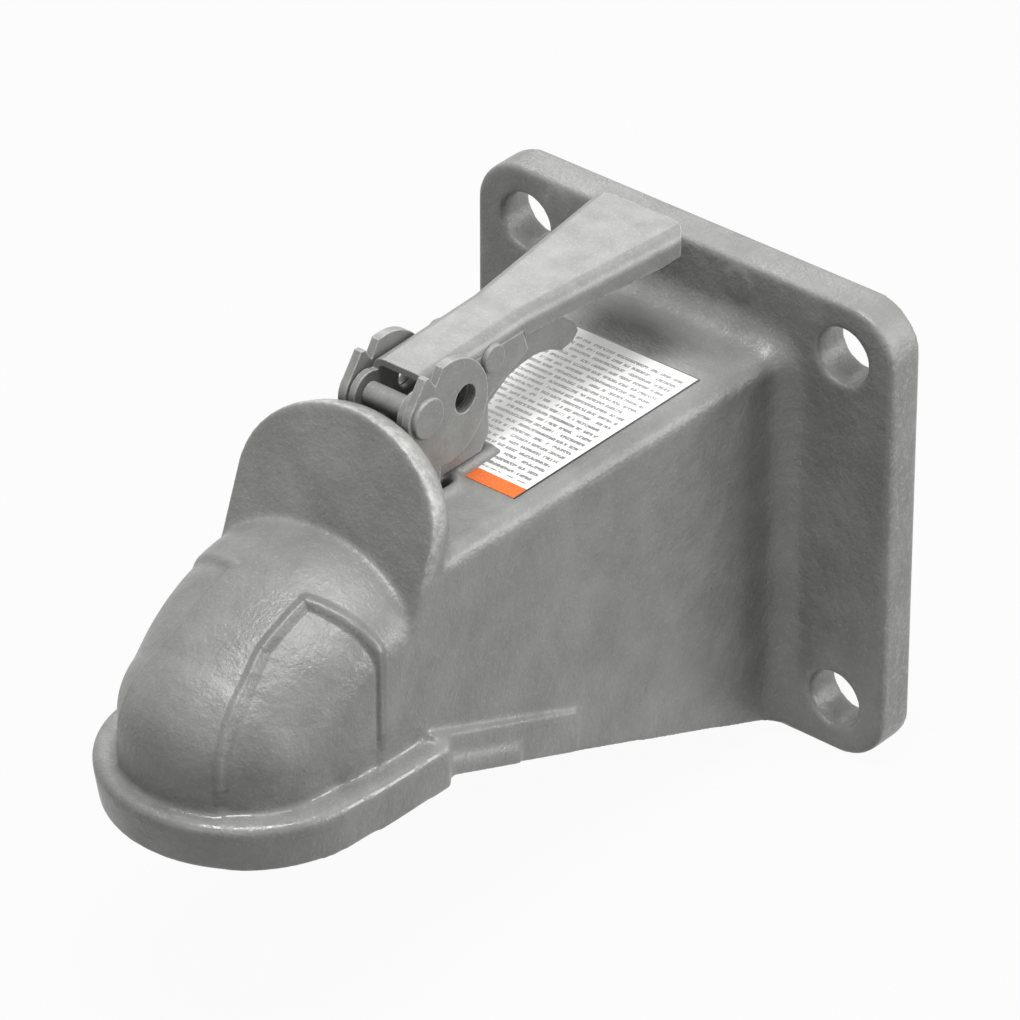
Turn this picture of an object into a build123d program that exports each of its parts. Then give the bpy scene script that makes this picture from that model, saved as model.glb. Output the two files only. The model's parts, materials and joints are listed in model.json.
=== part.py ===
from build123d import *
import os
from math import cos, radians, sin

# Flat mount trailer coupling head, millimetres.
# The origin is the centre of the rear mounting face, with the nose towards -Y and +Z up.
# Profiles are drawn from the centre of the ball: rearward and upward on the side plane.

# Ball and socket
ball_diameter = 58.74
socket_clearance = 0.45
dome_half = 39.2
dome_crown = 38.5
dome_spring = 8.0
ball_reach = 234.7
ball_rise = 6.2

# Mounting flange
flange_width = 175.0
flange_height = 172.5
flange_thickness = 15.0
flange_corner = 18.0
flange_edge = 1.2
bolt_hole = 20.6
bolt_spacing = 133.35
mark_diameter = 11.0
mark_height = 0.8
mark_near = 24.0
mark_far = -52.0
mark_drop = 8.0

# Rim round the mouth of the socket
rim_radius = 47.3
rim_height = 17.5
rim_bottom = 24.5
rim_tilt = 2.0
rim_shift = 0.5
rim_draft = 8.0
rim_edge = 3.0
rim_back = 51.0
rim_flare = 1.1
rim_flare_back = 18.0
rim_corner = 6.0
mouth_chamfer = 1.6

# Shield behind the dome, and the hood that rises to it
shield_lean = 20.5
shield_foot = 23.3
shield_half = 40.3
shield_thickness = 9.5
shield_spring = 65.5
shield_crown = 97.5
shield_edge = 1.2
hood_spring = 34.0
hood_crown = 56.5
hood_tilt = 30.0
hood_sink = 0.3
hood_rise = 1.0
hood_middle = 11.0
hood_middle_tilt = 8.0
hood_middle_half = 40.5
hood_middle_spring = 20.3
hood_middle_crown = 46.8

# Lower cheek on each side of the dome, in plan a wedge with its point near the crown
cheek_depth = 1.4
cheek_half_front = 25.0
cheek_half_back = 15.4
cheek_front = 48.0
cheek_knee = 4.0
cheek_apex = 16.0
cheek_rear = 24.0

# Hollow body between the shield and the flange
body_top = 54.5
body_half_front = 40.3
body_half_rear = 44.0
body_front = 46.0
body_corner = 6.5
body_wall = 8.0
body_low_front = 23.8
body_low_rear = 90.7
cavity_front = 18.0
cavity_step = 4.0
flange_blend = 10.0
blend_steps = 5
rail_start = 44.0
rail_rise = 1.0
rail_end = 116.0
rail_height = 16.0
rail_half = 43.4
rail_lip_height = 7.0
rail_lip_half = 45.0
rail_lip_end = 86.0

# Pad on the body top, with the slots that the links pass through
pad_height = 3.0
pad_front = 54.0
pad_half = 18.0
pad_back = 92.0
pad_corner = 7.0
heel_half = 12.2
heel_back = 112.0
keeper_half = 4.5
keeper_front = 97.0
keeper_back = 102.6
keeper_height = 9.0
keeper_lean = 1.4
slot_gap = 0.8

# Latch plates and pins
pivot_back = 74.7
pivot_up = 86.0
channel_half_front = 11.3
channel_half_rear = 19.8
channel_straight = 127.0
channel_shoulder = 4.5
channel_front = 79.0
channel_rear = 200.0
channel_rise = 11.0
channel_slope = 3.5
channel_depth = 6.5
channel_overlap = 2.2
channel_grip = 187.0
channel_corner = 8.0
channel_sheet = 2.5
cam_sheet = 2.5
cam_front_radius = 7.5
cam_rear = 108.8
cam_roll_angle = 25.0
cam_gap = 0.3
cam_steps = 6
link_sheet = 3.0
plate_gap = 0.4
link_disc_radius = 18.2
link_disc_back = 11.4
link_disc_drop = 3.3
link_lobe = 8.6
link_neck = 13.0
link_pin_up = 22.0
lock_back = 18.8
lock_drop = 1.8
lock_hole = 10.0
pin_diameter = 8.0
pivot_diameter = 6.2
pin_clearance = 0.05
pin_head = 14.2
pin_head_height = 1.4
link_pin_head = 11.0
clip_width = 1.0
clip_groove = 0.7
spacer_diameter = 8.0
spacer_gap = 0.2
trigger_back = 110.5
trigger_rise = 4.0
trigger_foot_gap = 0.8
trigger_thickness = 5.0
rivet_diameter = 6.0
rivet_head = 10.0
rivet_head_height = 1.5

# Ball clamp and its slide
clamp_half = 20.0
clamp_angle = 45.0
clamp_travel = 8.5
lever_travel = 88.0
arm_half = 9.0
arm_boss_half = 11.3
seat_radius = 29.6
key_back = 42.0
key_inner = 19.0
key_outer = 31.0
key_width = 8.0
key_length = 26.0
key_gap = 0.35
guide_width = 5.0
guide_inner = 24.0
guide_low = 17.0
guide_high = 23.0

# Springs
clamp_spring_radius = 5.2
clamp_spring_wire = 1.6
clamp_spring_turns = 4
clamp_spring_length = 13.0
clamp_spring_back = 46.0
trigger_spring_radius = 3.6
trigger_spring_wire = 1.0
trigger_spring_turns = 2.25
trigger_spring_pitch = 1.05
trigger_spring_side = 4.3
trigger_spring_leg = 14.0

# Label on the body top
label_half = 34.5
label_gap = 0.3
label_front = 94.0
label_back = 187.0
label_thickness = 0.3

ball_radius = ball_diameter / 2
socket_radius = ball_radius + socket_clearance
flange_front = ball_reach - flange_thickness
centre = Vector(0, -ball_reach, ball_rise)
side = Plane(origin=centre, x_dir=(0, 1, 0), z_dir=(1, 0, 0))
level = Plane(origin=centre, x_dir=(1, 0, 0), z_dir=(0, 0, 1))
pad_top = body_top + pad_height
channel_top_front = pivot_up + channel_rise
channel_top_rear = channel_top_front + channel_slope
channel_foot = channel_top_front - channel_depth
channel_lap = channel_foot + channel_overlap
channel_open = channel_straight - 1.4
trigger_up = pivot_up + trigger_rise


def cross_plane(back, up=0.0, lean=0.0):
    """Plane across the coupler, its own Y leaning rearwards by the angle."""
    return Plane(
        origin=centre + Vector(0, back, up),
        x_dir=(1, 0, 0),
        z_dir=(0, -cos(radians(lean)), sin(radians(lean))),
    )


def arch_section(plane, half, spring, crown, foot):
    """Upright arch: straight sides up to the spring, then half an ellipse to the crown."""
    with BuildSketch(plane) as section:
        with BuildLine():
            Polyline((-half, spring), (-half, foot), (half, foot), (half, spring))
            EllipticalCenterArc((0, spring), half, crown - spring, start_angle=0, arc_size=180)
        make_face()
    return section.sketch


def body_section(back, half, low, flare=0.0):
    """Body outline across the coupler, with rounded top corners, flared out all round the top."""
    with BuildSketch(cross_plane(back)) as section:
        with Locations((0, (body_top + flare - low) / 2)):
            Rectangle(2 * half + 2 * flare, body_top + flare + low)
        fillet(section.vertices().group_by(Axis.Y)[-1], body_corner + flare)
    return section.sketch


def head_form(inset):
    """Dome over the ball and the hood that rises from it to the shield, inset all over."""
    half = dome_half - inset
    crown = dome_crown - inset
    foot = -rim_bottom
    dome_arch = arch_section(
        cross_plane(0, 0, -hood_tilt), half - hood_sink, dome_spring, crown + hood_rise, foot
    )
    middle_arch = arch_section(
        cross_plane(hood_middle, 0, -hood_middle_tilt),
        hood_middle_half - inset,
        hood_middle_spring,
        hood_middle_crown - inset,
        foot,
    )
    shield_arch = arch_section(
        cross_plane(shield_foot + 3, 0, shield_lean),
        shield_half - inset,
        hood_spring,
        hood_crown - inset,
        foot,
    )
    with BuildPart() as form:
        with BuildSketch(side):
            with BuildLine():
                Polyline((0, crown), (0, foot), (half, foot), (half, dome_spring))
                EllipticalCenterArc(
                    (0, dome_spring), half, crown - dome_spring, start_angle=0, arc_size=90
                )
            make_face()
        revolve(axis=Axis(centre, (0, 0, 1)))
        loft(sections=[dome_arch, middle_arch, shield_arch])
    return form.part


def mouth_plane(up):
    """Plane of the rim at a height over its mouth, tilted a little nose up."""
    tilt = radians(rim_tilt)
    normal = Vector(0, sin(tilt), cos(tilt))
    return Plane(
        origin=centre
        + Vector(0, rim_shift + (rim_height - up) * sin(radians(rim_draft)), -rim_bottom)
        + normal * up,
        x_dir=(1, 0, 0),
        z_dir=normal,
    )


def rim_section(up):
    """Rim in plan, round at the nose with straight sides behind, wider towards its top."""
    half = rim_radius - (rim_height - up) * sin(radians(rim_draft)) / 2
    with BuildSketch(mouth_plane(up)) as section:
        with BuildLine():
            CenterArc((0, 0), half, 180, 180)
            Polyline(
                (half, 0),
                (half + rim_flare, rim_flare_back),
                (half + rim_flare, rim_back - rim_corner),
                (half + rim_flare - rim_corner, rim_back),
                (-half - rim_flare + rim_corner, rim_back),
                (-half - rim_flare, rim_back - rim_corner),
                (-half - rim_flare, rim_flare_back),
                (-half, 0),
            )
        make_face()
    return section.sketch


def rail_outline(height, end):
    """Strip along the sloping bottom edge of the body, seen from the side."""
    slope = (body_low_rear - body_low_front) / (flange_front - body_front)
    low_start = rail_rise - body_low_front - slope * (rail_start - body_front)
    low_end = rail_rise - body_low_front - slope * (end - body_front)
    with BuildSketch(side) as section:
        with BuildLine():
            Polyline(
                (rail_start, low_start),
                (end, low_end),
                (end, low_end + height),
                (rail_start, low_start + height),
                close=True,
            )
        make_face()
    return section.sketch


# Dome and hood, with a lower cheek on each side
with BuildPart() as cheek_wedge:
    with BuildSketch(level.offset(-flange_height)):
        for sign in (1, -1):
            with BuildLine():
                Polyline(
                    (sign * cheek_half_back, cheek_apex),
                    (sign * cheek_half_back, -cheek_knee),
                    (sign * cheek_half_front, -cheek_front),
                    (sign * flange_width, -cheek_front),
                    (sign * flange_width, cheek_rear),
                    (sign * shield_half, cheek_rear),
                    close=True,
                )
            make_face()
    extrude(amount=2 * flange_height)

with BuildPart() as head:
    add(head_form(0))
    add(cheek_wedge.part, mode=Mode.SUBTRACT)
    add(head_form(cheek_depth))

# Shield
with BuildPart() as shield:
    extrude(
        arch_section(
            cross_plane(shield_foot, 0, shield_lean),
            shield_half,
            shield_spring,
            shield_crown,
            -rim_bottom,
        ),
        amount=-shield_thickness,
    )
    fillet(shield.edges().filter_by(GeomType.ELLIPSE), shield_edge)
    # Block that carries the body sides forward to the leaning shield
    with BuildSketch(side):
        with BuildLine():
            Polyline(
                (shield_foot - 8, -body_low_front),
                (body_front + 1, -body_low_front),
                (body_front + 1, 40),
                (shield_foot + 18, 40),
                close=True,
            )
        make_face()
    extrude(amount=shield_half, both=True)

# Rim round the mouth
with BuildPart() as rim:
    loft(sections=[rim_section(0), rim_section(rim_height)])
    fillet(rim.edges().group_by(Axis.Z)[-1], rim_edge)

# Tapered body on its flange
with BuildPart() as body:
    with BuildSketch(Plane(origin=(0, 0, 0), x_dir=(1, 0, 0), z_dir=(0, -1, 0))):
        RectangleRounded(flange_width, flange_height, flange_corner)
    extrude(amount=flange_thickness)
    fillet(body.faces().sort_by(Axis.Y)[0].edges(), flange_edge)
    loft(
        sections=[
            body_section(body_front, body_half_front, body_low_front),
            body_section(flange_front, body_half_rear, body_low_rear),
        ]
    )
    # Concave blend from the body out to the flange, on the top and the sides
    blend_sections = []
    for step in range(blend_steps + 1):
        distance = flange_blend * (1 - step / blend_steps) ** 2
        flare = flange_blend - (flange_blend**2 - (flange_blend - distance) ** 2) ** 0.5
        share = (flange_front - distance - body_front) / (flange_front - body_front)
        blend_sections.append(
            body_section(
                flange_front - distance,
                body_half_front + share * (body_half_rear - body_half_front),
                body_low_front + share * (body_low_rear - body_low_front),
                flare,
            )
        )
    loft(sections=blend_sections)

# Hollow under the body, open below, its front wall sloping along the path of the clamp
wall_front = body_half_front - body_wall
wall_rear = body_half_rear - body_wall
cavity_top = body_top - body_wall
cavity_rear = flange_front - 4
slope_offset = cavity_front - cavity_step
with BuildPart() as body_cavity:
    with BuildSketch(level.offset(-flange_height)):
        with BuildLine():
            Polyline(
                (-wall_front, 0),
                (wall_front, 0),
                (wall_rear, flange_front),
                (-wall_rear, flange_front),
                close=True,
            )
        make_face()
    extrude(amount=2 * flange_height)
    with BuildSketch(side):
        with BuildLine():
            Polyline(
                (cavity_front, -flange_height),
                (cavity_front, cavity_step),
                (cavity_top + slope_offset, cavity_top),
                (cavity_rear, cavity_top),
                (cavity_rear, -flange_height),
                close=True,
            )
        make_face()
    extrude(amount=body_half_rear, both=True, mode=Mode.INTERSECT)

# Casting
with BuildPart() as coupler_casting:
    add(body.part)
    add(shield.part)
    add(head.part)
    add(rim.part)
    # Rails and lips along the bottom edges
    extrude(rail_outline(rail_height, rail_end), amount=rail_half, both=True)
    extrude(rail_outline(rail_lip_height, rail_lip_end), amount=rail_lip_half, both=True)
    # Pad that the cams rest on, with a heel and a keeper for the trigger
    with BuildSketch(level.offset(body_top - 1)):
        with Locations((0, (pad_front + pad_back) / 2)):
            RectangleRounded(2 * pad_half, pad_back - pad_front, pad_corner)
        with Locations((0, (pad_front + heel_back) / 2)):
            Rectangle(2 * heel_half, heel_back - pad_front)
    extrude(amount=pad_height + 1)
    with BuildSketch(side):
        with BuildLine():
            Polyline(
                (keeper_front, body_top),
                (keeper_back, body_top),
                (keeper_back + keeper_lean, pad_top + keeper_height),
                (keeper_front + keeper_lean, pad_top + keeper_height),
                (keeper_front, pad_top + keeper_height - keeper_lean),
                close=True,
            )
        make_face()
    extrude(amount=keeper_half, both=True)
    # Round foundry marks on the flange
    with BuildSketch(cross_plane(flange_front, -ball_rise)):
        with Locations(
            (mark_near, flange_height / 2 - mark_drop), (mark_far, flange_height / 2 - mark_drop)
        ):
            Circle(mark_diameter / 2)
    extrude(amount=mark_height)
    # Socket for the ball
    with Locations(centre):
        Sphere(socket_radius, mode=Mode.SUBTRACT)
    with BuildSketch(level.offset(-rim_bottom - 5)):
        Circle(socket_radius)
    extrude(amount=rim_bottom + 5, mode=Mode.SUBTRACT)
    with Locations(centre + Vector(0, 0, mouth_chamfer / 4 - rim_bottom)):
        Cone(
            socket_radius + 2 * mouth_chamfer,
            socket_radius - mouth_chamfer / 2,
            2.5 * mouth_chamfer,
            mode=Mode.SUBTRACT,
        )
    add(body_cavity.part, mode=Mode.SUBTRACT)
    # Guide ribs for the clamp keys
    for rib in (1, -1):
        rib_shift = rib * (key_width / 2 + key_gap + guide_width / 2)
        for sign in (1, -1):
            rib_plane = Plane(
                origin=centre + Vector(sign * guide_inner, key_back, 0),
                x_dir=(0, cos(radians(clamp_angle)), -sin(radians(clamp_angle))),
                z_dir=(sign, 0, 0),
            )
            with BuildSketch(rib_plane):
                with Locations(((guide_low - guide_high) / 2, rib_shift)):
                    Rectangle(guide_low + guide_high, guide_width)
            extrude(amount=shield_half - guide_inner - body_wall / 2)
    # Slots for the links
    with BuildSketch(level.offset(cavity_top - 1)):
        slot_back = pivot_back + clamp_travel * sin(radians(clamp_angle)) / 2
        slot_length = link_neck + clamp_travel * sin(radians(clamp_angle)) + 2 * slot_gap
        link_middle = channel_half_front + plate_gap + link_sheet / 2
        with Locations((-link_middle, slot_back), (link_middle, slot_back)):
            Rectangle(link_sheet + 2 * plate_gap, slot_length)
    extrude(amount=body_wall + pad_height + 2, mode=Mode.SUBTRACT)
    # Bolt holes
    with BuildSketch(Plane(origin=(0, 0, 0), x_dir=(1, 0, 0), z_dir=(0, -1, 0))):
        with GridLocations(bolt_spacing, bolt_spacing, 2, 2):
            Circle(bolt_hole / 2)
    extrude(amount=flange_thickness, mode=Mode.SUBTRACT)
coupler_casting.part.label = "coupler_casting"

# Label on the body top, notched round the latch
with BuildPart() as top_label:
    with BuildSketch(level.offset(body_top)):
        with Locations((0, (label_front + label_back) / 2)):
            Rectangle(2 * label_half, label_back - label_front)
        with Locations((0, (label_front + heel_back + label_gap) / 2 - 5)):
            Rectangle(
                2 * (heel_half + label_gap),
                heel_back + label_gap - label_front + 10,
                mode=Mode.SUBTRACT,
            )
    extrude(amount=label_thickness)
top_label.part.label = "top_label"

# Ball clamp: jaw with a ball seat, arm with a boss for the link pin, and slide keys
with BuildPart() as ball_clamp:
    with BuildSketch(side):
        with BuildLine():
            Polyline(
                (14, -22.5),
                (34, -22.5),
                (50, -8),
                (50, 9),
                (44, 15),
                (33, 15),
                (19, 1),
                (14, 1),
                close=True,
            )
        make_face()
    extrude(amount=clamp_half, both=True)
    with BuildSketch(side):
        with BuildLine():
            Polyline(
                (42, 3),
                (48, 15.6),
                (60, 27.6),
                (pivot_back, link_pin_up + pin_diameter),
                (pivot_back, link_pin_up - pin_diameter),
                (58, 0),
                (46, -10),
                close=True,
            )
        make_face()
    extrude(amount=arm_half, both=True)
    with BuildSketch(side):
        with Locations((pivot_back, link_pin_up)):
            Circle(pin_diameter)
    extrude(amount=arm_boss_half, both=True)
    for sign in (1, -1):
        key_plane = Plane(
            origin=centre + Vector(sign * key_inner, key_back, 0),
            x_dir=(0, cos(radians(clamp_angle)), -sin(radians(clamp_angle))),
            z_dir=(sign, 0, 0),
        )
        with BuildSketch(key_plane):
            Rectangle(key_length, key_width)
        extrude(amount=key_outer - key_inner)
    with Locations(centre):
        Sphere(seat_radius, mode=Mode.SUBTRACT)
    with BuildSketch(side):
        with Locations((pivot_back, link_pin_up)):
            Circle(pin_diameter / 2 + pin_clearance)
    extrude(amount=arm_boss_half + 1, both=True, mode=Mode.SUBTRACT)
ball_clamp.part.label = "ball_clamp"


def plate_plane(inner):
    """Side plane moved out to the inner face of a plate."""
    return Plane(origin=centre + Vector(inner, 0, 0), x_dir=(0, 1, 0), z_dir=(1, 0, 0))


def link_plate(sign):
    """Link from the clamp up to the lever pivot, its head a disc with a notch on top."""
    inner = channel_half_front + plate_gap
    disc = (pivot_back + link_disc_back, pivot_up - link_disc_drop)
    with BuildPart() as plate:
        with BuildSketch(plate_plane(sign * inner)):
            with Locations(disc):
                Circle(link_disc_radius)
            with Locations((pivot_back, pivot_up)):
                Circle(link_lobe)
            with BuildLine():
                Polyline(
                    (pivot_back - 6.4, pivot_up + 5.6),
                    (pivot_back - 0.4, pivot_up + 14.0),
                    (pivot_back + 2.2, pivot_up + 13.6),
                    (pivot_back + 10, pivot_up),
                    close=True,
                )
            make_face()
            with Locations((pivot_back, (pivot_up - 10 + link_pin_up) / 2)):
                Rectangle(link_neck, pivot_up - 10 - link_pin_up)
            with Locations((pivot_back, link_pin_up)):
                Circle(link_neck / 2)
            with BuildLine():
                Polyline(
                    (pivot_back + 4.5, pivot_up + 9),
                    (pivot_back - 0.6, pivot_up + 17),
                    (pivot_back + 9.5, pivot_up + 17),
                    close=True,
                )
            make_face(mode=Mode.SUBTRACT)
            with Locations((pivot_back, pivot_up)):
                Circle(pivot_diameter / 2 + pin_clearance, mode=Mode.SUBTRACT)
            with Locations((pivot_back, link_pin_up)):
                Circle(pin_diameter / 2 + pin_clearance, mode=Mode.SUBTRACT)
            with Locations((pivot_back + lock_back, pivot_up - lock_drop)):
                Circle(lock_hole / 2, mode=Mode.SUBTRACT)
        extrude(amount=sign * link_sheet)
    return plate.part


def cam_plate(sign):
    """Cam plate beside the channel, its foot a cam that rolls on the pad."""
    heel = pivot_up - pad_top - cam_gap
    rise_per_radian = clamp_travel * sin(radians(clamp_angle)) / radians(lever_travel)
    cam_points = []
    for step in range(cam_steps + 1):
        angle = cam_roll_angle * (1 - step / cam_steps)
        turn = radians(angle)
        support = heel - rise_per_radian * turn
        cam_points.append(
            (
                pivot_back - support * sin(turn) + rise_per_radian * cos(turn),
                pivot_up - support * cos(turn) - rise_per_radian * sin(turn),
            )
        )
    with BuildPart() as plate:
        with BuildSketch(plate_plane(sign * (channel_half_front - cam_sheet))):
            with BuildLine():
                Polyline(
                    (pivot_back - cam_front_radius, pivot_up),
                    *cam_points,
                    (cam_rear - 4, pivot_up - heel),
                    (cam_rear, pivot_up - heel + 5),
                    (cam_rear - 0.3, pivot_up - 10),
                    (channel_straight + 1.3, pivot_up - 1.3),
                    (channel_open, channel_lap),
                    (pivot_back, channel_lap),
                    close=True,
                )
            make_face()
            with Locations((pivot_back, pivot_up)):
                Circle(cam_front_radius)
            with Locations((pivot_back, pivot_up)):
                Circle(pivot_diameter / 2 + pin_clearance, mode=Mode.SUBTRACT)
            with Locations((pivot_back + lock_back, pivot_up - lock_drop)):
                Circle(lock_hole / 2, mode=Mode.SUBTRACT)
            with Locations((trigger_back, trigger_up)):
                Circle(rivet_diameter / 2 + pin_clearance, mode=Mode.SUBTRACT)
        extrude(amount=sign * cam_sheet)
    return plate.part


def round_pin(back, up, radius, half):
    """Straight pin across the coupler."""
    with BuildPart() as pin:
        with BuildSketch(side):
            with Locations((back, up)):
                Circle(radius)
        extrude(amount=half, both=True)
    return pin.part


with BuildPart() as link_plate_right:
    add(link_plate(1))
link_plate_right.part.label = "link_plate_right"

with BuildPart() as link_plate_left:
    add(link_plate(-1))
link_plate_left.part.label = "link_plate_left"

with BuildPart() as cam_plate_right:
    add(cam_plate(1))
cam_plate_right.part.label = "cam_plate_right"

with BuildPart() as cam_plate_left:
    add(cam_plate(-1))
cam_plate_left.part.label = "cam_plate_left"

# Pivot pin with a riveted head on each side
link_outer = channel_half_front + plate_gap + link_sheet
with BuildPart() as pivot_pin:
    add(round_pin(pivot_back, pivot_up, pivot_diameter / 2, link_outer + pin_head_height))
    for sign in (1, -1):
        with BuildSketch(plate_plane(sign * link_outer)):
            with Locations((pivot_back, pivot_up)):
                Circle(pin_head / 2)
        extrude(amount=sign * pin_head_height)
    head_rims = pivot_pin.edges().filter_by(GeomType.CIRCLE)
    fillet([head_rims.sort_by(Axis.X)[0], head_rims.sort_by(Axis.X)[-1]], pin_head_height / 2)
pivot_pin.part.label = "pivot_pin"

# Spacer between the cam plates on the pivot pin
with BuildPart() as pivot_spacer:
    with BuildSketch(side):
        with Locations((pivot_back, pivot_up)):
            Circle(spacer_diameter / 2)
            Circle(pivot_diameter / 2 + pin_clearance, mode=Mode.SUBTRACT)
    extrude(amount=channel_half_front - cam_sheet - spacer_gap, both=True)
pivot_spacer.part.label = "pivot_spacer"

# Link pin through the boss of the clamp, with a head on the left and a clip on the right
with BuildPart() as link_pin:
    add(round_pin(pivot_back, link_pin_up, pin_diameter / 2, link_outer + 3))
    with BuildSketch(plate_plane(-link_outer - pin_clearance)):
        with Locations((pivot_back, link_pin_up)):
            Circle(link_pin_head / 2)
    extrude(amount=-2)
    with BuildSketch(plate_plane(link_outer + pin_clearance)):
        with Locations((pivot_back, link_pin_up)):
            Circle(pin_diameter / 2)
            Circle(pin_diameter / 2 - clip_groove, mode=Mode.SUBTRACT)
    extrude(amount=clip_width + 2 * pin_clearance, mode=Mode.SUBTRACT)
link_pin.part.label = "link_pin"

with BuildPart() as link_pin_clip:
    with BuildSketch(plate_plane(link_outer + 2 * pin_clearance)):
        with Locations((pivot_back, link_pin_up)):
            Circle(link_pin_head / 2)
            Circle(pin_diameter / 2 - clip_groove + pin_clearance, mode=Mode.SUBTRACT)
        with Locations((pivot_back, link_pin_up - link_pin_head / 2)):
            Rectangle(pin_diameter / 2, link_pin_head / 2 + 1, mode=Mode.SUBTRACT)
    extrude(amount=clip_width)
link_pin_clip.part.label = "link_pin_clip"

# Trigger pin with a head outside each cam plate
with BuildPart() as trigger_pin:
    add(
        round_pin(
            trigger_back,
            trigger_up,
            rivet_diameter / 2,
            channel_half_front + rivet_head_height,
        )
    )
    for sign in (1, -1):
        with BuildSketch(plate_plane(sign * channel_half_front)):
            with Locations((trigger_back, trigger_up)):
                Circle(rivet_head / 2)
        extrude(amount=sign * rivet_head_height)
    rivet_rims = trigger_pin.edges().filter_by(GeomType.CIRCLE)
    fillet([rivet_rims.sort_by(Axis.X)[0], rivet_rims.sort_by(Axis.X)[-1]], rivet_head_height / 2)
trigger_pin.part.label = "trigger_pin"

# Trigger: a leg behind the keeper and a curved finger pull, placed from the trigger pin
with BuildPart() as trigger:
    with BuildSketch(side):
        with BuildLine():
            Polyline(
                (trigger_back - 4.5, trigger_up),
                (trigger_back - 6.0, pad_top + trigger_foot_gap),
                (trigger_back + 1, pad_top + trigger_foot_gap),
                (trigger_back + 4.5, trigger_up - 26.5),
                (trigger_back + 11.2, trigger_up - 23.7),
                (trigger_back + 18.2, trigger_up - 19.5),
                (trigger_back + 24.7, trigger_up - 18.1),
                (trigger_back + 32.7, trigger_up - 17.7),
                (trigger_back + 39.7, trigger_up - 19.5),
                (trigger_back + 45.7, trigger_up - 22.3),
                (trigger_back + 51.0, trigger_up - 21.4),
                (trigger_back + 53.8, trigger_up - 18.6),
                (trigger_back + 52.5, trigger_up - 15.4),
                (trigger_back + 48.7, trigger_up - 12.4),
                (trigger_back + 39.5, trigger_up - 5.5),
                (trigger_back + 26.5, trigger_up - 1.0),
                (trigger_back + 14.5, trigger_up + 1.8),
                (trigger_back, trigger_up + 4.6),
                close=True,
            )
        make_face()
        with Locations((trigger_back, trigger_up)):
            Circle(4.6)
        with Locations((trigger_back, trigger_up)):
            Circle(rivet_diameter / 2 + pin_clearance, mode=Mode.SUBTRACT)
    extrude(amount=trigger_thickness / 2, both=True)
    fillet(
        trigger.faces().filter_by(Axis.X).edges().filter_by(GeomType.LINE).filter_by(
            lambda edge: edge.center().Y > trigger_back + 14.5 - ball_reach
        ),
        0.8,
    )
trigger.part.label = "trigger"


def channel_section(back, half, crown, inset):
    """Section of the lever channel, flat on top with rounded shoulders."""
    foot = channel_foot - 3 * inset
    with BuildSketch(cross_plane(back)) as section:
        with Locations((0, (crown - inset + foot) / 2)):
            Rectangle(2 * (half - inset), crown - inset - foot)
        fillet(section.vertices().group_by(Axis.Y)[-1], channel_shoulder - inset)
    return section.sketch


def channel_form(inset):
    """Lever channel as a solid, straight over the cams and flaring to the rear."""
    rise = (channel_top_rear - channel_top_front) / (channel_rear - channel_front)
    crown_middle = channel_top_front + rise * (channel_straight - channel_front)
    return loft(
        sections=[
            channel_section(channel_front, channel_half_front, channel_top_front, inset),
            channel_section(channel_straight, channel_half_front, crown_middle, inset),
            channel_section(channel_rear, channel_half_rear, channel_top_rear, inset),
        ],
        ruled=True,
        mode=Mode.PRIVATE,
    )


# Lever channel
with BuildPart() as lever_channel:
    add(channel_form(0))
    add(channel_form(channel_sheet), mode=Mode.SUBTRACT)
    # Walls cut back over the cam plates, which carry on below in the same line
    with BuildSketch(side):
        with BuildLine():
            Polyline(
                (channel_front - 1, channel_foot - 1),
                (channel_straight + 1.3, channel_foot - 1),
                (channel_open, channel_lap),
                (channel_front - 1, channel_lap),
                close=True,
            )
        make_face()
    extrude(amount=2 * channel_half_front, both=True, mode=Mode.SUBTRACT)
    add(
        round_pin(
            trigger_back, trigger_up, rivet_diameter / 2 + pin_clearance, 2 * channel_half_front
        ),
        mode=Mode.SUBTRACT,
    )
    # Lower edge raised towards the rear
    with BuildSketch(side):
        with BuildLine():
            Polyline(
                (channel_grip, channel_foot - 10.5),
                (channel_grip, channel_foot),
                (channel_rear + 1, channel_foot + 2.0),
                (channel_rear + 1, channel_foot - 10.5),
                close=True,
            )
        make_face()
    extrude(amount=2 * channel_half_rear, both=True, mode=Mode.SUBTRACT)
    # Rounded corners of the grip, in plan
    with BuildSketch(level.offset(channel_foot - 10.5)):
        with Locations((0, channel_rear / 2)):
            Rectangle(4 * channel_half_rear, channel_rear)
        with Locations((0, channel_rear / 2)):
            RectangleRounded(
                2 * channel_half_rear, channel_rear, channel_corner, mode=Mode.SUBTRACT
            )
        with Locations((0, channel_rear / 4)):
            Rectangle(4 * channel_half_rear, channel_rear / 2, mode=Mode.SUBTRACT)
    extrude(amount=40, mode=Mode.SUBTRACT)
lever_channel.part.label = "lever_channel"


def coil_wire(coil, wire_diameter):
    """Round wire along a coil."""
    with BuildPart() as wire:
        with BuildSketch(Plane(origin=coil @ 0, z_dir=coil % 0)):
            Circle(wire_diameter / 2)
        sweep(path=coil, is_frenet=True)
    return wire.part


# Opening spring between the slope of the hollow and the seat on the clamp arm
spring_end_gap = clamp_spring_wire / 2 + 0.2
spring_direction = Vector(0, cos(radians(clamp_angle)), -sin(radians(clamp_angle)))
spring_start = centre + Vector(0, clamp_spring_back, clamp_spring_back - slope_offset)
coil_length = clamp_spring_length - 2 * spring_end_gap
clamp_coil = Plane(
    origin=spring_start + spring_direction * spring_end_gap,
    x_dir=(1, 0, 0),
    z_dir=spring_direction,
) * Helix(pitch=coil_length / clamp_spring_turns, height=coil_length, radius=clamp_spring_radius)
with BuildPart() as clamp_spring:
    add(coil_wire(clamp_coil, clamp_spring_wire))
clamp_spring.part.label = "clamp_spring"

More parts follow.
